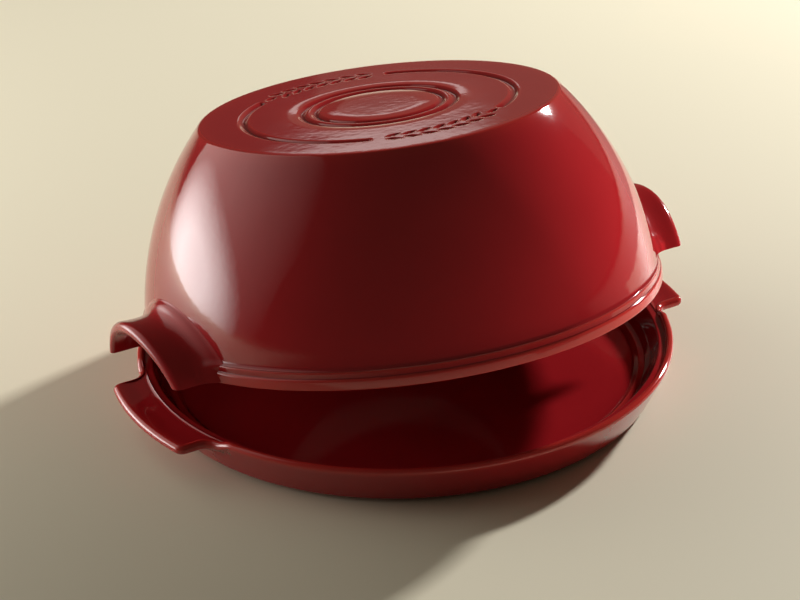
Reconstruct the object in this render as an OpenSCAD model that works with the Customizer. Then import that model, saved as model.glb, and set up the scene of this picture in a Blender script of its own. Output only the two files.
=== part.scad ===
// Bread cloche: a glazed ceramic baking dish with two lug handles, and a tall domed lid
// with two arched handles that seats in a recess inside the dish's rim.
// The origin is on the table under the middle of the dish. X runs through the handles
// and Y points to the side on which the lid leans back.

/* [Dish] */
// Outer radius of the dish at its rim
dish_r = 142.5; // [120:0.5:170]
// Height of the rim above the table
dish_h = 24; // [20:0.5:36]
// Width of the rounded rim
rim_w = 3.9; // [3:0.1:6]
// Depth of the lid's seat below the rim
seat_depth = 3; // [2:0.1:5]
// Width of the flat seat on which the lid rests
seat_w = 4; // [3:0.1:7]
// Height of the inside floor above the table
floor_z = 7; // [5:0.5:9]
// Radius of the flat part of the inside floor
floor_r = 118; // [100:0.5:122]
// How far the foot of the outer wall stands in from the rim
wall_taper = 9; // [5:0.5:14]
// How far the foot ring stands in from the foot of the outer wall
foot_inset = 6; // [3:0.5:14]
// Width of the foot ring
foot_w = 8; // [5:0.5:14]
// Height of the foot ring
foot_h = 2.2; // [1.5:0.1:3]

/* [Lid] */
// Height of the lid from its bottom edge to its top
lid_h = 106; // [90:1:130]
// Radius at which the dome meets the flat top
top_r = 94; // [75:0.5:100]
// Rise of the dome's curve over a straight slope
dome_bulge = 10; // [6:0.5:16]
// Wall thickness of the lid
lid_wall = 7; // [6:0.25:8]
// Rounding of the edge round the flat top
top_round = 5; // [3:0.5:8]
// Height of the lower bead of the lid's rim
bead_h = 5.6; // [4:0.1:7]
// Height of the upper step of the lid's rim
step_h = 9; // [8:0.1:12]
// How far the lower bead stands out from the foot of the dome
bead_out = 1.8; // [1:0.1:3]

/* [Handles] */
// How far a dish handle reaches beyond the rim
lug_reach = 15.3; // [10:0.1:24]
// Half the width of a dish handle
lug_half_w = 40.5; // [30:0.5:44]
// Thickness of a dish handle
lug_t = 6.2; // [5:0.1:8]
// Radius of the hollow corner where a dish handle meets the rim
lug_fillet = 7; // [4:0.5:9]
// Radius of a dish handle's outer corners
lug_corner = 5; // [3:0.5:9]
// How far a lid handle reaches beyond the lid's rim
grip_reach = 19; // [12:0.1:24]
// Half the width of a lid handle at its foot
grip_half_w = 43.5; // [32:0.5:45]
// Height of a lid handle's arch above the lid's bottom edge
grip_rise = 26.5; // [20:0.5:32]
// Thickness of a lid handle
grip_t = 6; // [5:0.1:7]
// Height of the lip where a lid handle meets the dome
grip_lip = 4.6; // [4.2:0.1:7]

/* [Pattern] */
// Radius of the outer ring groove on the lid's top
ring_r = 70.5; // [55:0.5:74]
// Outer radius of the middle pair of ring grooves
inner_ring_r = 40; // [30:0.5:48]
// Gap between the middle pair of ring grooves
inner_ring_gap = 7; // [5:0.5:10]
// Width of a groove
groove_w = 4; // [2:0.1:5]
// Depth of a groove
groove_d = 1.2; // [0.5:0.1:2]
// Angle of the lid's top that each ear of wheat takes up
ear_span = 64; // [50:2:90]
// Pairs of grains in each ear of wheat
ear_pairs = 7; // [4:1:9]
// Length of a grain
grain_l = 8.5; // [6:0.5:10]
// Width of a grain
grain_w = 3.4; // [2:0.1:4]

/* [Fit] */
// Gap all round between the lid and the wall of its seat
side_gap = 0.6; // [0.4:0.1:1.2]
// Gap between the lid and its seat when it is shut
seat_gap = 0.3; // [0.2:0.05:0.6]
// Gap between the foot of a lid handle and the dish handle when the lid is shut
grip_gap = 0.7; // [0.5:0.1:2]
// Angle at which the lid leans open
lid_tilt = 10; // [0:0.5:30]

/* [Hidden] */
$fn = 96;
glaze = [0.56, 0.08, 0.09];

// Dish sizes that follow from the ones above
seat_z = dish_h - seat_depth;
seat_r = dish_r - rim_w;
rim_round = rim_w / 2;
rim_c = [dish_r - rim_round, dish_h - rim_round];
heel_r = dish_r - wall_taper;
foot_r = heel_r - foot_inset;
heel_c = [heel_r - rim_round, foot_h + rim_round];
wall_lean = atan2(rim_c.x - heel_c.x, rim_c.y - heel_c.y);
seat_edge = 1.5;
edge_c = [seat_r - seat_w, seat_z - seat_edge];
floor_fillet = 8;
lug_r = dish_r + lug_reach;
lug_top = seat_z + 0.2;
lug_edge = lug_t * 0.42;
notch_half_w = lug_half_w + lug_fillet;
notch_slope = 6;

// Lid sizes that follow from the ones above; heights are above the lid's bottom edge
lid_r = seat_r - side_gap;
lid_z = seat_z + seat_gap;
dome_foot = [lid_r - bead_out, 0];
dome_top = [top_r, lid_h];
dome_chord = norm(dome_top - dome_foot);
dome_r = (pow(dome_chord / 2, 2) + pow(dome_bulge, 2)) / (2 * dome_bulge);
dome_along = (dome_top - dome_foot) / dome_chord;
dome_c = (dome_foot + dome_top) / 2 - (dome_r - dome_bulge) * [dome_along.y, -dome_along.x];
inner_r = dome_r - lid_wall;
inner_round = 10;
ceiling_h = lid_h - lid_wall;
bead_round = 1.6;

// The lid handle is a ring about a line that runs outward below the lid's bottom edge
grip_ring = (pow(grip_half_w, 2) + pow(grip_rise, 2)) / (2 * grip_rise);
grip_axis = grip_rise - grip_ring;
grip_r = lid_r + grip_reach;
lip_x = lid_r - 5.2;
lip_round = 1.4;
lip_hollow = 2.6;

// The lid turns about the back of the rim's inner edge
hinge_y = seat_r;
hinge_z = dish_h;

// Points along an arc of n steps about c, from angle a0 to a1
function arc(c, r, a0, a1, n = 6) =
    [for (i = [0:n]) let (a = a0 + (a1 - a0) * i / n) c + r * [cos(a), sin(a)]];

// Radius of an arc about c at height h, on its outer side
function arc_x(c, r, h) = c.x + sqrt(pow(r, 2) - pow(h - c.y, 2));

// Angle at which the arc about c reaches height h
function arc_angle(c, r, h) = asin((h - c.y) / r);

// Centre of a rounding of radius q that touches a level h and the inside of an arc
function corner_c(c, r, h, q) = [arc_x(c, r - q, h - q), h - q];

// Half of the dish's section, from its middle out along the underside and back inside
module dish_section() {
    polygon(concat(
        [[0, foot_h], [foot_r - foot_w, foot_h]],
        [[foot_r - foot_w + 0.8, 0], [foot_r - 0.8, 0], [foot_r, 0.8], [foot_r, foot_h]],
        arc(heel_c, rim_round, -90, -wall_lean, 4),
        arc(rim_c, rim_round, -wall_lean, 180, 12),
        [[seat_r, seat_z]],
        arc(edge_c, seat_edge, 90, 150, 4),
        [[floor_r + floor_fillet + 3, floor_z + 3.6], [floor_r + floor_fillet + 1.6, floor_z + 2.6]],
        arc([floor_r, floor_z + floor_fillet], floor_fillet, -43, -90, 5),
        [[0, floor_z]]
    ));
}

// Outline of a dish handle from above, with hollow corners at the rim
module lug_plan() {
    fillet_x = sqrt(pow(dish_r + lug_fillet, 2) - pow(notch_half_w, 2));
    fillet_a = atan2(notch_half_w, fillet_x);
    corner_y = lug_half_w - lug_corner;
    corner_x = sqrt(pow(lug_r - lug_corner, 2) - pow(corner_y, 2));
    upper = concat(
        arc([fillet_x, notch_half_w], lug_fillet, 180 + fillet_a, 270, 5),
        arc([corner_x, corner_y], lug_corner, 90, 22, 5)
    );
    lower = [for (i = [len(upper) - 1:-1:0]) [upper[i].x, -upper[i].y]];
    root_x = seat_r * cos(fillet_a) - 4;
    polygon(concat(
        [[root_x, notch_half_w]],
        upper,
        [[lug_r + 9, corner_y], [lug_r + 9, -corner_y]],
        lower,
        [[root_x, -notch_half_w]]
    ));
}

// Section of a dish handle: a shallow dip, then a thick rounded edge
module lug_section() {
    edge = [lug_r - lug_edge, lug_top + 0.5 - lug_edge];
    polygon(concat(
        [[seat_r - 2.5, lug_top - lug_t - 1.4], [lug_r - lug_t, lug_top - lug_t + 0.2]],
        arc(edge, lug_edge, -60, 100, 8),
        [[lug_r - 7, lug_top - 0.2], [lug_r - 11, lug_top - 0.4], [seat_r + 0.4, lug_top]],
        [[seat_r - 2.5, seat_z - 0.5]]
    ));
}

// Both dish handles
module lugs() {
    for (side = [0, 180])
        rotate(side)
            intersection() {
                rotate_extrude() lug_section();
                linear_extrude(dish_h + 5) lug_plan();
            }
}

// Takes the raised rim away over each dish handle, with a slope at both ends
module rim_notch() {
    top = dish_h + 1;
    wide = notch_half_w + notch_slope;
    reach = dish_r + 20;
    rotate([90, 0, 90])
        linear_extrude(2 * reach, center = true)
            polygon([[-notch_half_w, lug_top], [notch_half_w, lug_top], [wide, top], [-wide, top]]);
}

module base_dish() {
    color(glaze) {
        difference() {
            rotate_extrude() dish_section();
            rim_notch();
        }
        lugs();
    }
}

// Half of the lid's outer section, filled to the axis
module lid_section() {
    top_c = corner_c(dome_c, dome_r, lid_h, top_round);
    top_a = atan2(top_c.y - dome_c.y, top_c.x - dome_c.x);
    step_x = arc_x(dome_c, dome_r, step_h);
    start_a = arc_angle(dome_c, dome_r, step_h + 5);
    polygon(concat(
        [[0, 0]],
        arc([lid_r - 0.8, 0.8], 0.8, -90, 0, 3),
        arc([lid_r - bead_round, bead_h - bead_round], bead_round, 0, 80, 4),
        [[step_x + 0.9, bead_h + 0.5]],
        arc([step_x + 0.3, step_h - 1.2], 1.2, -10, 80, 4),
        [[step_x + 0.1, step_h + 1.2]],
        arc(dome_c, dome_r, start_a, top_a, 14),
        arc(top_c, top_round, top_a, 90, 6),
        [[0, lid_h]]
    ));
}

// Half of the hollow inside the lid
module hollow_section() {
    corner = corner_c(dome_c, inner_r, ceiling_h, inner_round);
    corner_a = atan2(corner.y - dome_c.y, corner.x - dome_c.x);
    mouth_x = arc_x(dome_c, inner_r, 0);
    polygon(concat(
        [[0, -1], [mouth_x + 2, -1], [mouth_x + 1, 0]],
        arc(dome_c, inner_r, arc_angle(dome_c, inner_r, 1), corner_a, 12),
        arc(corner, inner_round, corner_a, 90, 6),
        [[0, ceiling_h]]
    ));
}

// Section of a lid handle: distance from the ring's line, then distance out from the middle
module grip_section() {
    top = grip_ring;
    under = grip_ring - grip_t;
    root_x = lid_r - 22;
    polygon(concat(
        [[under, root_x], [under, grip_r + 2], [top, grip_r + 2]],
        arc([top + lip_hollow, lip_x + lip_round + lip_hollow], lip_hollow, 180, 270, 5),
        arc([top + grip_lip - lip_round, lip_x], lip_round, 90, 0, 4),
        [[top + grip_lip, root_x]]
    ));
}

// Both lid handles
module grips() {
    for (side = [0, 180])
        rotate(side)
            intersection() {
                translate([0, 0, grip_axis])
                    rotate([0, 90, 0])
                        rotate_extrude() grip_section();
                translate([0, 0, grip_gap]) cylinder(r = grip_r, h = grip_rise + grip_lip + 5);
            }
}

// A round-bottomed groove along part of a ring on the lid's top
module ring_groove(r, from, span) {
    rotate(from)
        rotate_extrude(angle = span)
            polygon([
                [r - groove_w / 2, lid_h + 1],
                [r - groove_w / 2, lid_h],
                [r - groove_w / 3.5, lid_h - groove_d * 0.8],
                [r, lid_h - groove_d],
                [r + groove_w / 3.5, lid_h - groove_d * 0.8],
                [r + groove_w / 2, lid_h],
                [r + groove_w / 2, lid_h + 1]
            ]);
}

// One sunk grain, pointed at both ends
module grain() {
    bow = (pow(grain_l, 2) + pow(grain_w, 2)) / (4 * grain_w);
    translate([0, 0, lid_h - groove_d])
        linear_extrude(groove_d + 1)
            intersection() {
                translate([0, bow - grain_w / 2]) circle(bow);
                translate([0, grain_w / 2 - bow]) circle(bow);
            }
}

// A plain ear of wheat that follows the ring, centred on the front or back of the lid
module wheat_ear() {
    pitch = (ear_span - 12) / (ear_pairs + 0.5);
    for (i = [0:ear_pairs - 1])
        for (side = [-1, 1])
            rotate(90 - ear_span / 2 + 6 + (i + 0.5) * pitch)
                translate([ring_r + side * grain_w * 1.05, 0, 0])
                    rotate(90 - side * 28) grain();
    rotate(90 + ear_span / 2 - 6) translate([ring_r, 0, 0]) rotate(90) grain();
}

// Everything that is sunk into the lid's top
module top_pattern() {
    arc_span = 180 - ear_span;
    for (turn = [0, 180]) {
        ring_groove(ring_r, turn - arc_span / 2, arc_span);
        rotate(turn) wheat_ear();
    }
    ring_groove(inner_ring_r, 0, 360);
    ring_groove(inner_ring_r - inner_ring_gap, 0, 360);
}

// The lid in its own place, upright with its bottom edge at height zero
module upright_lid() {
    difference() {
        union() {
            rotate_extrude() lid_section();
            grips();
        }
        rotate_extrude() hollow_section();
        top_pattern();
    }
}

module domed_lid() {
    color(glaze)
        translate([0, hinge_y, hinge_z])
            rotate([-lid_tilt, 0, 0])
                translate([0, -hinge_y, lid_z - hinge_z]) upright_lid();
}

base_dish();
domed_lid();
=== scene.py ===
"""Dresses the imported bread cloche: glaze on the dish and the lid, floor, lamps and camera."""

import math

import bmesh
import bpy
import numpy as np
from mathutils import Matrix, Vector


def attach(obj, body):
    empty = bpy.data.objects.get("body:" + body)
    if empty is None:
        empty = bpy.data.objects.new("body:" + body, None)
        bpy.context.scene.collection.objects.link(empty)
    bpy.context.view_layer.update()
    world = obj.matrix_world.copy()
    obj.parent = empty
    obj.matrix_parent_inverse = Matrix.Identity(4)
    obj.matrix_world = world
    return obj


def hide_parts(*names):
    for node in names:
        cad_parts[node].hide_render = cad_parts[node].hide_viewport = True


bl_info = {
    "name": "Bread Cloche",
    "version": (1, 0, 0),
    "blender": (4, 5, 0),
    "location": "View3D > Sidebar > Bread Cloche",
    "description": "Glazed ceramic dish and domed lid with their materials and a small studio",
    "category": "Object",
}

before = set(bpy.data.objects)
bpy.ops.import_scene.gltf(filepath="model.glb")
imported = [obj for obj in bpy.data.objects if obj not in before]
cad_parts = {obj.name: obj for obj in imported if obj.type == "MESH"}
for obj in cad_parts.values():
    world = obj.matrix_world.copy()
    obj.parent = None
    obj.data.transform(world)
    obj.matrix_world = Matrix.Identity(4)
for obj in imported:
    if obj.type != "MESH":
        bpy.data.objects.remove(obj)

MM = 0.001

# Every size below is in millimetres and is the one that the solids have
DISH_R, RIM_H, RIM_ROUND = 142.5, 24.0, 1.95
SEAT_R, SEAT_H, SEAT_W = 138.6, 21.0, 4.0
HEEL_R, FOOT_H, FOOT_OUT, FOOT_IN = 133.5, 2.2, 127.5, 119.5
FLOOR_R, FLOOR_H = 118.0, 7.0
LUG_R, LUG_HALF, LUG_FILLET, LUG_CORNER, LUG_TOP, LUG_NOSE = 157.8, 40.5, 7.0, 5.0, 21.2, 2.6
LID_R, LID_H, LID_SEAT, TILT = 138.0, 106.0, 21.3, math.radians(10.0)
HINGE = Vector((0.0, SEAT_R, RIM_H))
DOME_R, DOME_X, DOME_Z, WALL, TOP_ROUND = 167.71, -31.43, -5.33, 7.0, 2.5
BEAD_H, STEP_H = 5.6, 9.0


class Wire:
    """A shader socket on which Python's arithmetic adds Math nodes."""

    def __init__(self, shader, socket):
        self.shader = shader
        self.socket = socket

    def _math(self, operation, *values):
        return self.shader.node("ShaderNodeMath", {"operation": operation}, values)["Value"]

    def __add__(self, other):
        return self._math("ADD", self, other)

    def __sub__(self, other):
        return self._math("SUBTRACT", self, other)

    def __rsub__(self, other):
        return self._math("SUBTRACT", other, self)

    def __mul__(self, other):
        return self._math("MULTIPLY", self, other)

    def __truediv__(self, other):
        return self._math("DIVIDE", self, other)

    def __pow__(self, other):
        return self._math("POWER", self, other)

    __radd__ = __add__
    __rmul__ = __mul__


class Outputs:
    """The outputs of one node, by name."""

    def __init__(self, shader, node):
        self.shader = shader
        self.node = node

    def __getitem__(self, name):
        return Wire(self.shader, self.node.outputs[name])


class Shader:
    """A new material and the one method that adds nodes to it."""

    def __init__(self, name):
        self.material = bpy.data.materials.new(name)
        self.material.use_nodes = True
        self.tree = self.material.node_tree
        self.tree.nodes.clear()

    def node(self, kind, settings=None, inputs=()):
        """Adds a node: its settings first, then its sockets by name or in order."""
        made = self.tree.nodes.new(kind)
        for name, value in (settings or {}).items():
            if name == "stops":
                self._stops(made.color_ramp, value)
            else:
                setattr(made, name, value)
        pairs = inputs.items() if isinstance(inputs, dict) else enumerate(inputs)
        for key, value in pairs:
            socket = made.inputs[key]
            if isinstance(value, Wire):
                self.tree.links.new(value.socket, socket)
            else:
                socket.default_value = value
        return Outputs(self, made)

    def _stops(self, ramp, stops):
        while len(ramp.elements) < len(stops):
            ramp.elements.new(0.5)
        for element, (place, value) in zip(ramp.elements, stops):
            element.position = place
            element.color = value

    def mix(self, factor, first, second):
        """A colour between two colours."""
        made = self.tree.nodes.new("ShaderNodeMix")
        made.data_type = "RGBA"
        sockets = (made.inputs[0], made.inputs[6], made.inputs[7])
        for socket, value in zip(sockets, (factor, first, second)):
            if isinstance(value, Wire):
                self.tree.links.new(value.socket, socket)
            else:
                socket.default_value = value
        return Wire(self, made.outputs[2])

    def place(self):
        """The point on the surface in the part's own metres."""
        return self.node("ShaderNodeTexCoord")["Object"]

    def noise(self, scale, detail=2.0, roughness=0.5):
        """Soft mottling, scale in bumps per metre."""
        inputs = {"Vector": self.place(), "Scale": scale, "Detail": detail, "Roughness": roughness}
        return self.node("ShaderNodeTexNoise", inputs=inputs)["Fac"]

    def surface(self, **inputs):
        """Ends the material in a Principled surface."""
        named = {key.replace("_", " "): value for key, value in inputs.items()}
        skin = self.node("ShaderNodeBsdfPrincipled", inputs=named)["BSDF"]
        self.node("ShaderNodeOutputMaterial", inputs={"Surface": skin})
        return self.material


def rgba(color):
    """A colour property as the four numbers that a socket takes."""
    return (color[0], color[1], color[2], 1.0)


def glaze(name, looks):
    """Deep glossy glaze with faint mottling and orange peel."""
    shader = Shader(name)
    mottle = shader.noise(14.0, 3.0)
    thin = shader.node("ShaderNodeAttribute", {"attribute_name": "thin"})["Fac"]
    thick = shader.node("ShaderNodeAttribute", {"attribute_name": "thick"})["Fac"]
    color = shader.mix(mottle, rgba(looks.deep), rgba(looks.bright))
    # Convex edges turn lighter and more orange: thin glaze where the clay shows, and partly a painted highlight
    # along the edges.
    color = shader.mix(thin * 0.7, color, rgba(looks.edge))
    color = shader.mix(thick * 0.6, color, rgba(looks.pooled))
    peel = shader.noise(260.0, 1.0)
    swell = shader.noise(38.0, 1.0)
    height = peel * 0.25 + swell
    normal = shader.node("ShaderNodeBump", inputs={
        "Strength": looks.peel, "Distance": 0.0004, "Height": height,
    })["Normal"]
    roughness = shader.noise(60.0, 2.0) * 0.03 + looks.roughness
    return shader.surface(
        Base_Color=color, Roughness=roughness, Normal=normal,
        IOR=1.62,
    )


def rounded(corners, step=12.0):
    """A path through corners (across, up, radius) with each corner rounded to its radius."""
    path = []
    for number, (x, z, radius) in enumerate(corners):
        here = Vector((x, z))
        if not radius:
            path.append(here)
            continue
        back = (Vector(corners[number - 1][:2]) - here).normalized()
        ahead = (Vector(corners[number + 1][:2]) - here).normalized()
        half = back.angle(ahead) / 2
        middle = here + (back + ahead).normalized() * radius / math.sin(half)
        start = here + back * radius / math.tan(half) - middle
        turn = start.angle_signed(here + ahead * radius / math.tan(half) - middle)
        count = max(3, math.ceil(abs(math.degrees(turn)) / step))
        for i in range(count + 1):
            path.append(middle + Matrix.Rotation(-turn * i / count, 2) @ start)
    return [(point.x, point.y) for point in path]


def between(first, last, count):
    """Evenly spaced points after first, up to and with last."""
    return [tuple(np.array(first) + (np.array(last) - first) * i / count)
            for i in range(1, count + 1)]


def arc(middle, radius, start, end, count):
    """Points on an arc, angles in degrees."""
    angles = np.radians(np.linspace(start, end, count + 1))
    return [(middle[0] + radius * math.cos(a), middle[1] + radius * math.sin(a)) for a in angles]


def turned(profile, steps, parts=20):
    """Spins a profile of (radius, height) points, as equal parts joined; a vertex keeps its point's number."""
    shape = bmesh.new()
    ring = shape.verts.layers.int.new("ring")
    row = []
    for number, (radius, height) in enumerate(profile):
        point = shape.verts.new((radius, 0.0, height))
        point[ring] = number
        row.append(point)
    for one, other in zip(row, row[1:]):
        shape.edges.new((one, other))
    bmesh.ops.spin(
        shape, geom=shape.verts[:] + shape.edges[:], cent=(0, 0, 0), axis=(0, 0, 1),
        angle=math.tau / parts, steps=steps // parts, use_merge=False, use_duplicate=False,
    )
    part = shape.verts[:] + shape.edges[:] + shape.faces[:]
    for number in range(1, parts):
        copy = bmesh.ops.duplicate(shape, geom=part)["geom"]
        turn = Matrix.Rotation(math.tau * number / parts, 3, "Z")
        points = [item for item in copy if isinstance(item, bmesh.types.BMVert)]
        bmesh.ops.rotate(shape, verts=points, cent=(0, 0, 0), matrix=turn)
    bmesh.ops.remove_doubles(shape, verts=shape.verts[:], dist=1e-3)
    bmesh.ops.recalc_face_normals(shape, faces=shape.faces[:])
    return shape


def smooth_step(low, high, value):
    """0 below low, 1 above high and an even rise between."""
    share = np.clip((value - low) / (high - low), 0.0, 1.0)
    return share * share * (3 - 2 * share)


def mark_edges(mesh):
    """Stores how sharply the surface bends out (thin glaze, also a painted highlight along edges) or in (thick
    glaze) at each vertex.
    """
    count = len(mesh.vertices)
    place, normal = np.empty(count * 3), np.empty(count * 3)
    mesh.vertices.foreach_get("co", place)
    mesh.vertices.foreach_get("normal", normal)
    place, normal = place.reshape(-1, 3) / MM, normal.reshape(-1, 3)
    ends = np.empty(len(mesh.edges) * 2, int)
    mesh.edges.foreach_get("vertices", ends)
    ends = np.vstack([ends.reshape(-1, 2), ends.reshape(-1, 2)[:, ::-1]])
    one, other = ends[np.argsort(ends[:, 0], kind="stable")].T
    first = np.flatnonzero(np.diff(one, prepend=-1))
    owner = one[first]
    number = np.diff(first, append=len(one))
    along = place[other] - place[one]
    bend = -2 * (along * normal[one]).sum(1) / np.maximum((along ** 2).sum(1), 1e-6)
    out, hollow = np.zeros(count), np.zeros(count)
    out[owner] = np.maximum.reduceat(bend, first)
    hollow[owner] = np.maximum.reduceat(-bend, first)
    for name, value in (("thin", smooth_step(0.08, 0.5, out)), ("thick", smooth_step(0.05, 0.5, hollow))):
        for _ in range(2):
            value[owner] = (value[owner] + np.add.reduceat(value[other], first)) / (number + 1)
        layer = mesh.attributes.new(name, "FLOAT", "POINT")
        layer.data.foreach_set("value", value.astype(np.float32))


def piece(name, shape, material, body, replaced=()):
    """Makes a finished piece of a shape in millimetres and hangs it on its body."""
    bmesh.ops.transform(shape, matrix=Matrix.Scale(MM, 4), verts=shape.verts[:])
    mesh = bpy.data.meshes.new(name)
    shape.to_mesh(mesh)
    shape.free()
    mesh.shade_smooth()
    mark_edges(mesh)
    mesh.materials.append(material)
    made = bpy.data.objects.new(name, mesh)
    bpy.context.scene.collection.objects.link(made)
    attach(made, body)
    if replaced:
        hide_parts(*replaced)
    return made


def lug_outline():
    """The dish seen from above, as (x, y) points of a quarter, from the right handle's middle to the back."""
    fillet_x = math.sqrt((DISH_R + LUG_FILLET) ** 2 - (LUG_HALF + LUG_FILLET) ** 2)
    corner_x = math.sqrt((LUG_R - LUG_CORNER) ** 2 - (LUG_HALF - LUG_CORNER) ** 2)
    fillet_a = math.degrees(math.atan2(LUG_HALF + LUG_FILLET, fillet_x))
    corner_a = math.degrees(math.atan2(LUG_HALF - LUG_CORNER, corner_x))
    return (
        arc((0, 0), LUG_R, 0, corner_a, 40)
        + arc((corner_x, LUG_HALF - LUG_CORNER), LUG_CORNER, corner_a, 90, 20)[1:]
        + between((corner_x, LUG_HALF), (fillet_x, LUG_HALF), 16)
        + arc((fillet_x, LUG_HALF + LUG_FILLET), LUG_FILLET, 270, 180 + fillet_a, 24)[1:]
        + arc((0, 0), DISH_R, fillet_a, 90, 150)[1:]
    )


def rim_path(steps):
    """The dish's outline from above at each spin step, with the steps closer together near the lugs: points and
    outward normals.
    """
    quarter = np.array(lug_outline())
    half = np.vstack([quarter, quarter[-2::-1] * (-1, 1)])
    loop = np.vstack([half, half[-2:0:-1] * (1, -1)])
    loop = np.vstack([loop, loop[:1]])
    length = np.hypot(*np.diff(loop, axis=0).T)
    middle = (loop[1:] + loop[:-1]) / 2
    near = smooth_step(60, 44, np.abs(middle[:, 1])) * (np.abs(middle[:, 1]) > 30)
    along = np.concatenate([[0], np.cumsum(length * (1 + 1.6 * near))])
    at = np.linspace(0, along[-1], steps, endpoint=False)
    path = np.stack([np.interp(at, along, loop[:, i]) for i in (0, 1)], axis=1)
    tangent = np.roll(path, -1, axis=0) - np.roll(path, 1, axis=0)
    tangent /= np.hypot(*tangent.T)[:, None]
    return path, np.stack([tangent[:, 1], -tangent[:, 0]], axis=1)


def dish_shape(steps=640):
    """The whole dish: a turned section whose rim is drawn out into the two lugs."""
    lean = math.degrees(math.atan2(HEEL_R - DISH_R, RIM_H - FOOT_H - 2 * RIM_ROUND)) * -1
    heel = (HEEL_R - RIM_ROUND, FOOT_H + RIM_ROUND)
    crest = (DISH_R - RIM_ROUND, RIM_H - RIM_ROUND)
    foot = rounded([
        (FOOT_IN - 6, FOOT_H, 0), (FOOT_IN, FOOT_H, 0.6), (FOOT_IN + 0.8, 0, 0.5),
        (FOOT_OUT - 0.8, 0, 0.5), (FOOT_OUT, FOOT_H, 0.6), (heel[0], FOOT_H, 0),
    ], 25)
    under = [(0, FOOT_H)] + between((0, FOOT_H), foot[0], 9) + foot[1:-1]
    heel_arc = arc(heel, RIM_ROUND, -90, -lean, 6)
    wall_end = arc(crest, RIM_ROUND, -lean, 0, 1)[0]
    wall = between(heel_arc[-1], wall_end, 16)
    low_wall, high_wall = wall[:7], wall[7:]
    nose = arc(crest, RIM_ROUND, -lean, 100, 9)[1:]
    bead_back = arc(crest, RIM_ROUND, 100, 180, 7)[1:]
    seat = rounded([
        (SEAT_R, crest[1], 0), (SEAT_R, SEAT_H, 0.5), (SEAT_R - SEAT_W, SEAT_H, 1.5),
        (130.5, 12.2, 2.5), (127.3, 9.9, 1.2), (124.2, 9.7, 1.0), (121.5, 7.6, 3.0),
        (FLOOR_R - 2, FLOOR_H, 0),
    ], 15)[1:]
    floor = between(seat[-1], (0, FLOOR_H), 16)
    profile = under + heel_arc + low_wall + high_wall + nose + bead_back + seat + floor
    first_high = len(under + heel_arc + low_wall)
    first_nose = first_high + len(high_wall)
    first_back = first_nose + len(nose)
    first_seat = first_back + len(bead_back)
    path, normal = rim_path(steps)
    across = np.abs(path[:, 1])
    is_lug = smooth_step(55.0, 45.0, across)
    angle = np.arctan2(path[:, 1], path[:, 0])
    even = np.arange(steps) * math.tau / steps
    drift = (angle - even + math.pi) % math.tau - math.pi
    nose_r = RIM_ROUND + (LUG_NOSE - RIM_ROUND) * is_lug
    nose_h = crest[1] + (LUG_TOP + 0.4 - LUG_NOSE - crest[1]) * is_lug
    table = np.zeros((len(profile), steps, 3))

    def around(radius, calm):
        turn = even + drift * (1 - calm)
        return radius * np.stack([np.cos(turn), np.sin(turn)], axis=1)

    for number, (radius, height) in enumerate(profile):
        if number < first_high:
            calm = smooth_step(first_high, first_high - 14, number)
            table[number, :, :2] = around(radius, calm)
            table[number, :, 2] = height
        elif number >= first_seat:
            calm = smooth_step(first_seat, first_seat + 16, number) * 0.9 + 0.1
            table[number, :, :2] = around(radius, calm)
            table[number, :, 2] = height
    for number in range(first_nose, first_back):
        share = (number - first_nose + 1) / len(nose)
        low = -lean + (lean - 62) * is_lug
        tilt = np.radians(low + (100 - low) * share)
        inward = nose_r * (1 - np.cos(tilt))
        table[number, :, :2] = path - normal * inward[:, None]
        table[number, :, 2] = nose_h + nose_r * np.sin(tilt)
    root = table[first_high - 1]
    lip = table[first_nose]
    for i, (radius, height) in enumerate(high_wall):
        share = (i + 1) / (len(high_wall) + 1)
        plain = np.concatenate([around(radius, 0.0), np.full((steps, 1), height)], axis=1)
        reach = smooth_step(0, 1, share) * 0.6 + share * 0.4
        drawn = root + (lip - root) * reach
        rise = 1 - (1 - share) ** 2.2
        drawn[:, 2] = root[:, 2] + (lip[:, 2] - root[:, 2]) * rise
        table[first_high + i] = plain + (drawn - plain) * is_lug[:, None]
    edge = table[first_back - 1]
    inner = around(SEAT_R, 0.1)
    for i in range(len(bead_back)):
        share = (i + 1) / len(bead_back)
        tilt = math.radians(100 + 80 * share)
        plain = np.empty((steps, 3))
        plain[:, :2] = path - normal * (RIM_ROUND * (1 - math.cos(tilt)))
        plain[:, 2] = crest[1] + RIM_ROUND * math.sin(tilt)
        drawn = np.empty((steps, 3))
        drawn[:, :2] = edge[:, :2] + (inner - edge[:, :2]) * share
        drawn[:, 2] = edge[:, 2] + (SEAT_H + 0.3 - edge[:, 2]) * share
        drawn[:, 2] -= 0.5 * math.sin(math.pi * share) ** 2
        table[first_back + i] = plain + (drawn - plain) * is_lug[:, None]
    return laid(turned(profile, steps), table)


def laid(shape, table):
    """Moves each vertex of a turned shape to its place in a table by profile point and spin step."""
    ring = shape.verts.layers.int["ring"]
    steps = table.shape[1]
    for point in shape.verts:
        if math.hypot(point.co.x, point.co.y) > 1e-3:
            step = round(math.atan2(point.co.y, point.co.x) / math.tau * steps) % steps
            point.co = table[point[ring], step]
    return shape


def ring_dip(radius, middle, depth=1.3, half=3.1):
    """Depth of a soft round-bottomed groove at a distance from its middle."""
    share = np.clip(np.abs(radius - middle) / half, 0, 1)
    return depth * (0.5 + 0.5 * np.cos(math.pi * share))


def grain_dip(x, y, place, turn, long=8.5, wide=3.4, depth=1.2):
    """Depth of one sunk grain, pointed at both ends."""
    along = (x - place[0]) * math.cos(turn) + (y - place[1]) * math.sin(turn)
    across = (y - place[1]) * math.cos(turn) - (x - place[0]) * math.sin(turn)
    reach = np.clip(1 - (2 * along / long) ** 2, 0, 1) ** 0.8
    share = np.abs(across) / np.maximum(reach * wide / 2, 1e-3)
    return np.where(reach > 0, depth * np.clip(reach * 1.6, 0, 1) * (1 - smooth_step(0.35, 1.15, share)), 0)


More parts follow.
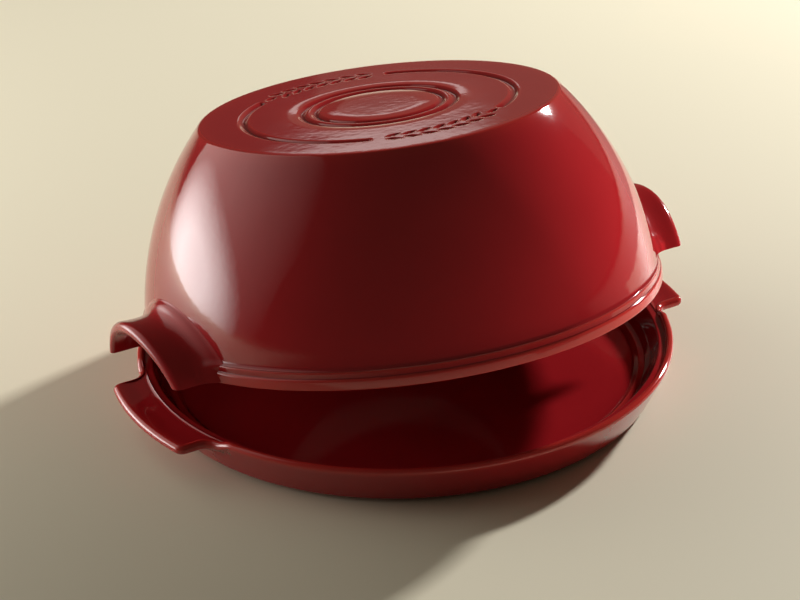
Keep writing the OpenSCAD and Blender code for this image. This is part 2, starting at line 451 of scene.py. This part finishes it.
def pattern_dip(x, y):
    """Depth of everything sunk into the lid's top: ring grooves and two plain ears of wheat."""
    radius, angle = np.hypot(x, y), np.degrees(np.arctan2(y, x))
    from_side = np.minimum(np.abs(angle), 180 - np.abs(angle))
    dip = ring_dip(radius, 70.5) * smooth_step(58.6, 57.4, from_side)
    dip = np.maximum(dip, ring_dip(radius, 40.0))
    dip = np.maximum(dip, ring_dip(radius, 33.0))
    pairs, span = 7, 64.0
    pitch = (span - 12) / (pairs + 0.5)
    for turn in (0.0, 180.0):
        for i in range(pairs):
            for side in (-1, 1):
                at = math.radians(90 - span / 2 + 6 + (i + 0.5) * pitch + turn)
                reach = 70.5 + side * 3.4 * 1.05
                place = (reach * math.cos(at), reach * math.sin(at))
                lean = at + math.radians(90 - side * 28)
                dip = np.maximum(dip, grain_dip(x, y, place, lean))
        at = math.radians(90 + span / 2 - 6 + turn)
        place = (70.5 * math.cos(at), 70.5 * math.sin(at))
        dip = np.maximum(dip, grain_dip(x, y, place, at + math.radians(90)))
    return dip


def dome_edge(radius, height):
    """Radius of the dome's outside, or of another arc about its middle, at a height."""
    return DOME_X + math.sqrt(radius ** 2 - (height - DOME_Z) ** 2)


def lid_profile():
    """The lid's whole section, from the middle of its inside out round the rim and back to the top."""
    inner_r, ceiling, inner_round = DOME_R - WALL, LID_H - WALL, 10.0
    corner = (dome_edge(inner_r - inner_round, ceiling - inner_round), ceiling - inner_round)
    inner_a = math.degrees(math.atan2(corner[1] - DOME_Z, corner[0] - DOME_X))
    mouth_a = math.degrees(math.asin((2.0 - DOME_Z) / inner_r))
    inside = (
        [(0, ceiling)] + between((0, ceiling), (corner[0], ceiling), 8)
        + arc(corner, inner_round, 90, inner_a, 7)[1:]
        + arc((DOME_X, DOME_Z), inner_r, inner_a, mouth_a, 14)[1:]
    )
    mouth = inside[-1][0]
    foot_a = math.asin((17.0 - DOME_Z) / DOME_R)
    foot = (DOME_X + DOME_R * math.cos(foot_a), 17.0)
    step_x = dome_edge(DOME_R, STEP_H) + 1.3
    flange = rounded([
        (*inside[-1], 0), (mouth + 1.2, 0, 1.2), (LID_R, 0, 0.9), (LID_R, BEAD_H, 1.7),
        (step_x + 0.1, BEAD_H + 0.3, 0.45), (step_x, STEP_H, 1.3),
        (dome_edge(DOME_R, STEP_H + 1.0) - 0.1, STEP_H + 0.9, 3.0), (*foot, 0),
    ], 12)[1:]
    top = (dome_edge(DOME_R - TOP_ROUND, LID_H - TOP_ROUND), LID_H - TOP_ROUND)
    top_a = math.degrees(math.atan2(top[1] - DOME_Z, top[0] - DOME_X))
    dome = arc((DOME_X, DOME_Z), DOME_R, math.degrees(foot_a), top_a, 22)[1:]
    edge = arc(top, TOP_ROUND, top_a, 90, 8)[1:]
    flat = (
        between(edge[-1], (79.0, LID_H), 3) + between((79.0, LID_H), (62.0, LID_H), 28)
        + between((62.0, LID_H), (43.0, LID_H), 3) + between((43.0, LID_H), (30.0, LID_H), 22)
        + between((30.0, LID_H), (0, LID_H), 3)
    )
    return inside + flange + dome + edge + flat


def lid_place():
    """Turns and lifts the upright lid to where it stands, tipped open about the rim."""
    return (
        Matrix.Translation(HINGE) @ Matrix.Rotation(-TILT, 4, "X")
        @ Matrix.Translation((0, -HINGE.y, LID_SEAT - HINGE.z))
    )


def lid_shape(steps=600):
    """The lid without its handles: a turned section with the pattern sunk into its top."""
    shape = turned(lid_profile(), steps)
    tops = [v for v in shape.verts if v.co.z > LID_H - 1e-3 and math.hypot(v.co.x, v.co.y) < 84]
    dips = pattern_dip(np.array([v.co.x for v in tops]), np.array([v.co.y for v in tops]))
    for point, dip in zip(tops, dips):
        point.co.z -= dip
    return shape


GRIP_OUT, GRIP_FOOT = 157.0, 0.95


def arch(half_width, crest):
    """Radius and centre height of the arc through both feet and the crest of a lid handle."""
    rise = crest - GRIP_FOOT
    radius = (half_width ** 2 + rise ** 2) / (2 * rise)
    return radius, crest - radius


def grip_section():
    """A lid handle's section as (mm from the dome, share of the way out, arc radius, arc centre height)."""
    edge, middle = arch(40.0, 23.5)
    nose = 3.0
    under = [(-4.0, 0, -4.2), (-0.4, 0, -5.4), (0.1, 0, -4.7), (0.8, 0, -3.8), (1.9, 0, -3.3), (3.6, 0, -3.1)]
    under += [(0, share, -3.0) for share in (0.3, 0.45, 0.6, 0.75)]
    tip = [(-nose + nose * math.sin(math.radians(a)), 1, -nose * math.cos(math.radians(a)))
           for a in range(0, 181, 18)]
    points = [(gap, share, edge + out, middle) for gap, share, out in under + tip]
    rise = [
        (-5.0, 1, 43.35, 26.35), (-8.0, 1, 43.2, 26.1), (0, 0.5, 43.2, 26.0), (0, 0.36, 43.3, 26.15),
        (7.2, 0, 43.5, 26.4), (5.8, 0, 43.8, 26.8), (4.6, 0, 44.4, 27.4), (3.6, 0, 45.4, 28.3),
        (2.9, 0, 46.7, 29.3), (2.3, 0, 48.1, 30.2), (1.7, 0, 49.5, 30.9), (1.1, 0, 50.8, 31.3),
        (0.6, 0, 52.0, 31.6), (0.2, 0, 53.3, 32.1), (-0.1, 0, 54.5, 32.8), (-4.0, 0, 54.6, 32.9),
    ]
    return points + [(gap, share, *arch(half, crest)) for gap, share, half, crest in rise]


def outer_edge():
    """Heights and radii of the lid's outside, read off its section from the foot up."""
    side = [point for point in lid_profile() if point[0] > 95]
    first = max(range(len(side)), key=lambda i: side[i][0] - side[i][1])
    outside = sorted((z, r) for r, z in side[first:] if z > 0.5)
    return [z for z, r in outside], [r for z, r in outside]


def grip_shape(steps=84):
    """One arched lid handle: its section spun about a level line, then fitted to the dome and to a level circle."""
    section = grip_section()
    heights, radii = outer_edge()
    shape = bmesh.new()
    ring = shape.verts.layers.int.new("ring")
    step_of = shape.verts.layers.int.new("step")
    most = math.radians(60)
    middle = (0, 0, section[8][3])
    loop = []
    for number, (gap, share, radius, _) in enumerate(section):
        point = shape.verts.new((132.0 + gap + share * 24.0, 0.0, middle[2] + radius))
        point[ring] = number
        loop.append(point)
    for one, other in zip(loop, loop[1:] + loop[:1]):
        shape.edges.new((one, other))
    bmesh.ops.rotate(shape, verts=loop, cent=middle, matrix=Matrix.Rotation(-most, 3, "X"))
    bmesh.ops.spin(
        shape, geom=shape.verts[:] + shape.edges[:], cent=middle, axis=(1, 0, 0),
        angle=2 * most, steps=steps, use_merge=False, use_duplicate=False,
    )
    for point in shape.verts:
        turn = math.atan2(-point.co.y, point.co.z - middle[2]) / most
        point[step_of] = round((turn + 1) / 2 * steps)
        gap, share, radius, height = section[point[ring]]
        turn *= math.acos((GRIP_FOOT - height) / radius)
        y, z = -radius * math.sin(turn), height + radius * math.cos(turn)
        if share == 0:
            gap -= 3.5 * float(smooth_step(10.0, 4.0, z) * smooth_step(3.4, 1.8, gap))
        dome = math.sqrt(float(np.interp(z, heights, radii)) ** 2 - y * y)
        edge = math.sqrt(GRIP_OUT ** 2 - y * y)
        point.co = (dome + gap + share * (edge - dome), y, z)
    ends = []
    for step in (0, steps):
        rim = [e for e in shape.edges if all(v[step_of] == step for v in e.verts)]
        ends += bmesh.ops.edgeloop_fill(shape, edges=rim)["faces"]
    bmesh.ops.recalc_face_normals(shape, faces=shape.faces[:])
    bmesh.ops.bevel(
        shape, geom=list({e for f in ends for e in f.edges}), offset=0.9, offset_type="OFFSET",
        segments=4, profile=0.5, affect="EDGES", material=-1, clamp_overlap=True,
    )
    return shape


class GlazeLooks(bpy.types.PropertyGroup):
    """Colours and gloss of the glaze."""

    bright: bpy.props.FloatVectorProperty(
        name="Bright glaze", description="Colour where the glaze is thin",
        default=(0.38, 0.014, 0.018), size=3, subtype="COLOR", min=0.0, max=1.0,
    )
    deep: bpy.props.FloatVectorProperty(
        name="Deep glaze", description="Colour where the glaze is thick",
        default=(0.29, 0.008, 0.012), size=3, subtype="COLOR", min=0.0, max=1.0,
    )
    # The edge colour is thin glaze over the clay and partly a painted highlight along the edges.
    edge: bpy.props.FloatVectorProperty(
        name="Edge glaze", description="Colour on sharp edges, where the clay shines through",
        default=(0.50, 0.030, 0.022), size=3, subtype="COLOR", min=0.0, max=1.0,
    )
    pooled: bpy.props.FloatVectorProperty(
        name="Pooled glaze", description="Colour where the glaze has run together",
        default=(0.16, 0.004, 0.007), size=3, subtype="COLOR", min=0.0, max=1.0,
    )
    roughness: bpy.props.FloatProperty(
        name="Roughness", description="Roughness of the glaze", default=0.05, min=0.0, max=1.0,
    )
    peel: bpy.props.FloatProperty(
        name="Orange peel", description="Strength of the fine waviness", default=0.25,
        min=0.0, max=1.0,
    )


class StageLooks(bpy.types.PropertyGroup):
    """Floor, lamps and camera."""

    floor_color: bpy.props.FloatVectorProperty(
        name="Floor", description="Colour of the floor", default=(0.80, 0.74, 0.57),
        size=3, subtype="COLOR", min=0.0, max=1.0,
    )
    card_color: bpy.props.FloatVectorProperty(
        name="Dark card", description="Colour of the card that the glaze mirrors on the right",
        default=(0.16, 0.12, 0.09), size=3, subtype="COLOR", min=0.0, max=1.0,
    )
    core_power: bpy.props.FloatProperty(
        name="Left lamp", description="Power of the soft lamp that stands behind on the left", default=13.2,
        min=0.0, unit="POWER",
    )
    glow_power: bpy.props.FloatProperty(
        name="Left glow", description="Power of the wide dim panel round the left lamp", default=10.2,
        min=0.0, unit="POWER",
    )
    right_power: bpy.props.FloatProperty(
        name="Right lamp", description="Power of the small lamp behind on the right", default=50.0,
        min=0.0, unit="POWER",
    )
    back_power: bpy.props.FloatProperty(
        name="Back wall", description="Power of the faint light behind", default=0.6,
        min=0.0, unit="POWER",
    )
    bounce_power: bpy.props.FloatProperty(
        name="Right bounce", description="Power of the light thrown back from low on the right", default=7.0,
        min=0.0, unit="POWER",
    )
    strip_power: bpy.props.FloatProperty(
        name="Back strip", description="Power of the small bright window behind", default=0.16,
        min=0.0, unit="POWER",
    )
    ambient: bpy.props.FloatProperty(
        name="Ambient", description="Strength of the light from all round", default=0.06, min=0.0,
    )
    elevation: bpy.props.FloatProperty(
        name="Camera height", description="Angle at which the camera looks down",
        default=math.radians(26.65), subtype="ANGLE",
    )
    azimuth: bpy.props.FloatProperty(
        name="Camera side", description="Angle from the camera's right to the part's right handle",
        default=math.radians(28.99), subtype="ANGLE",
    )
    roll: bpy.props.FloatProperty(
        name="Camera roll", description="Tilt of the camera about its line of sight",
        default=math.radians(1.91), subtype="ANGLE",
    )
    distance: bpy.props.FloatProperty(
        name="Camera distance", description="From the camera to the point it looks at",
        default=1.4866, unit="LENGTH",
    )
    lens: bpy.props.FloatProperty(
        name="Lens", description="Focal length in millimetres on a sensor 36 mm wide",
        default=117.83, min=1.0,
    )


class CLOCHE_OT_dish(bpy.types.Operator):
    """Makes the baking dish with its two lugs."""

    bl_idname = "cloche.dish"
    bl_label = "Make the dish"

    def execute(self, context):
        material = glaze("dish_glaze", context.scene.cloche_glaze)
        piece("baking_dish", dish_shape(), material, "dish", ["base_dish"])
        return {"FINISHED"}


class CLOCHE_OT_lid(bpy.types.Operator):
    """Makes the domed lid with the pattern on its top."""

    bl_idname = "cloche.lid"
    bl_label = "Make the lid"

    def execute(self, context):
        material = glaze("lid_glaze", context.scene.cloche_glaze)
        shape = lid_shape()
        bmesh.ops.transform(shape, matrix=lid_place(), verts=shape.verts[:])
        piece("lid_dome", shape, material, "lid", ["domed_lid"])
        return {"FINISHED"}


class CLOCHE_OT_grips(bpy.types.Operator):
    """Makes the two arched handles of the lid."""

    bl_idname = "cloche.grips"
    bl_label = "Make the lid's handles"

    def execute(self, context):
        material = bpy.data.materials["lid_glaze"]
        for name, turn in (("right_grip", 0.0), ("left_grip", math.pi)):
            shape = grip_shape()
            place = lid_place() @ Matrix.Rotation(turn, 4, "Z")
            bmesh.ops.transform(shape, matrix=place, verts=shape.verts[:])
            piece(name, shape, material, "lid")
        return {"FINISHED"}


def lamp(name, place, target, size, power, color, hot=(0.5, 0.5), fade=None):
    """A rectangular lamp that points at a target; fade gives its brightness by the distance from its hot spot."""
    data = bpy.data.lights.new(name, "AREA")
    data.shape = "RECTANGLE"
    data.size, data.size_y = size
    data.energy = power
    data.color = color
    if fade:
        data.use_nodes = True
        nodes, links = data.node_tree.nodes, data.node_tree.links
        across = nodes.new("ShaderNodeNewGeometry")
        away = nodes.new("ShaderNodeVectorMath")
        away.operation = "DISTANCE"
        away.inputs[1].default_value = (*hot, 0.0)
        ramp = nodes.new("ShaderNodeValToRGB")
        for _ in fade[2:]:
            ramp.color_ramp.elements.new(0.5)
        for element, (reach, level) in zip(ramp.color_ramp.elements, fade):
            element.position = reach
            element.color = (level, level, level, 1.0)
        links.new(across.outputs["Parametric"], away.inputs[0])
        links.new(away.outputs["Value"], ramp.inputs[0])
        links.new(ramp.outputs["Color"], nodes["Emission"].inputs["Strength"])
    made = bpy.data.objects.new(name, data)
    made.location = place
    made.rotation_euler = (Vector(target) - Vector(place)).to_track_quat("-Z", "Y").to_euler()
    made.visible_camera = False
    bpy.context.scene.collection.objects.link(made)
    return made


def around(azimuth, elevation, distance, looks):
    """A place by its angle round the part from the camera's right, and its height angle."""
    angle = azimuth - looks.azimuth
    flat = distance * math.cos(elevation)
    return (flat * math.cos(angle), flat * math.sin(angle), distance * math.sin(elevation))


class CLOCHE_OT_stage(bpy.types.Operator):
    """Lays the floor, hangs the lamps and sets the camera."""

    bl_idname = "cloche.stage"
    bl_label = "Set the stage"

    def execute(self, context):
        looks = context.scene.cloche_stage
        self.floor(looks)
        self.lamps(context, looks)
        self.camera(context, looks)
        context.scene.view_settings.view_transform = "Standard"
        return {"FINISHED"}

    def floor(self, looks):
        shader = Shader("floor_paint")
        shader.surface(Base_Color=rgba(looks.floor_color), Roughness=0.55)
        mesh = bpy.data.meshes.new("floor")
        shape = bmesh.new()
        bmesh.ops.create_grid(shape, x_segments=1, y_segments=1, size=6.0)
        shape.to_mesh(mesh)
        shape.free()
        mesh.materials.append(shader.material)
        made = bpy.data.objects.new("floor", mesh)
        bpy.context.scene.collection.objects.link(made)
        self.card(looks)

    def card(self, looks):
        """A dark card flat on the floor beyond the picture, seen only in the glaze."""
        shader = Shader("card_paint")
        shader.surface(Base_Color=rgba(looks.card_color), Roughness=0.8)
        mesh = bpy.data.meshes.new("dark_card")
        shape = bmesh.new()
        sides = [math.radians(angle) for angle in range(-40, 73, 8)]
        near = [shape.verts.new((*around(angle, 0.0, 0.52, looks)[:2], 0.002)) for angle in sides]
        far = [shape.verts.new((*around(angle, 0.0, 4.0, looks)[:2], 0.002)) for angle in sides]
        shape.faces.new(near[::-1] + far)
        shape.to_mesh(mesh)
        shape.free()
        mesh.materials.append(shader.material)
        made = bpy.data.objects.new("dark_card", mesh)
        made.visible_camera = made.visible_diffuse = made.visible_shadow = False
        bpy.context.scene.collection.objects.link(made)

    def lamps(self, context, looks):
        middle = (0.0, 0.0, 0.07)
        white, cream, warm = (1.0, 0.99, 0.97), (1.0, 0.96, 0.88), (1.0, 0.86, 0.66)

        def hang(name, azimuth, elevation, distance, size, power, color, **fading):
            place = Vector(around(math.radians(azimuth), math.radians(elevation), distance, looks))
            return lamp(name, place + Vector(middle), middle, size, power, color, **fading)

        core = ((0.0, 1.0), (0.16, 0.95), (0.3, 0.55), (0.42, 0.16), (0.5, 0.0))
        hang("left_core", 168.5, 1.5, 0.8, (0.98, 0.58), looks.core_power, white, fade=core)
        glow = ((0.0, 1.0), (0.25, 0.8), (0.5, 0.35), (0.8, 0.0))
        hang("left_glow", 172, 28, 1.0, (1.7, 1.4), looks.glow_power, cream, hot=(0.25, 0.4), fade=glow)
        hang("right_lamp", 46.5, 23.5, 2.0, (0.16, 0.16), looks.right_power, white)
        place = around(math.radians(-13), 0.0, 0.56, looks)
        low = lamp(
            "right_bounce", (*place[:2], 0.004), (*place[:2], 1.0), (0.5, 0.5), looks.bounce_power, white,
        )
        low.visible_glossy = False
        strip = ((0.0, 1.0), (0.36, 0.9), (0.5, 0.0))
        hang("back_strip", 93, 8.4, 2.53, (0.38, 0.15), looks.strip_power, white, fade=strip)
        hang("back_wall", 70, 9, 2.4, (2.2, 1.0), looks.back_power, warm)
        world = bpy.data.worlds.new("room")
        world.use_nodes = True
        back = world.node_tree.nodes["Background"]
        back.inputs["Color"].default_value = (1.0, 0.86, 0.66, 1.0)
        back.inputs["Strength"].default_value = looks.ambient
        context.scene.world = world

    def camera(self, context, looks):
        data = bpy.data.cameras.new("camera")
        data.sensor_width = 36.0
        data.lens = looks.lens
        back = Vector((0.0, -math.cos(looks.elevation), math.sin(looks.elevation)))
        right = Vector((1.0, 0.0, 0.0))
        turn = Matrix.Rotation(-looks.azimuth, 4, "Z")
        axes = Matrix((right, back.cross(right), back)).transposed().to_4x4()
        place = Matrix.Translation(Vector((-0.0019, 0.0901, 0.0)) + back * looks.distance)
        made = bpy.data.objects.new("camera", data)
        made.matrix_world = turn @ place @ axes @ Matrix.Rotation(-looks.roll, 4, "Z")
        bpy.context.scene.collection.objects.link(made)
        context.scene.camera = made


class CLOCHE_PT_panel(bpy.types.Panel):
    """Lists the steps and the looks in the 3D view's sidebar."""

    bl_idname = "CLOCHE_PT_panel"
    bl_label = "Bread Cloche"
    bl_space_type = "VIEW_3D"
    bl_region_type = "UI"
    bl_category = "Bread Cloche"

    def draw(self, context):
        for step in STEPS:
            self.layout.operator(step.bl_idname)
        for group in (context.scene.cloche_glaze, context.scene.cloche_stage):
            for name in group.__annotations__:
                self.layout.prop(group, name)


STEPS = (CLOCHE_OT_dish, CLOCHE_OT_lid, CLOCHE_OT_grips, CLOCHE_OT_stage)
CLASSES = (GlazeLooks, StageLooks, *STEPS, CLOCHE_PT_panel)


def register():
    for item in CLASSES:
        bpy.utils.register_class(item)
    bpy.types.Scene.cloche_glaze = bpy.props.PointerProperty(type=GlazeLooks)
    bpy.types.Scene.cloche_stage = bpy.props.PointerProperty(type=StageLooks)


def unregister():
    del bpy.types.Scene.cloche_stage
    del bpy.types.Scene.cloche_glaze
    for item in reversed(CLASSES):
        bpy.utils.unregister_class(item)


def main():
    """Registers the add-on and runs its steps in order."""
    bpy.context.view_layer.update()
    register()
    bpy.ops.cloche.dish()
    bpy.ops.cloche.lid()
    bpy.ops.cloche.grips()
    bpy.ops.cloche.stage()


if __name__ == "__main__":
    main()
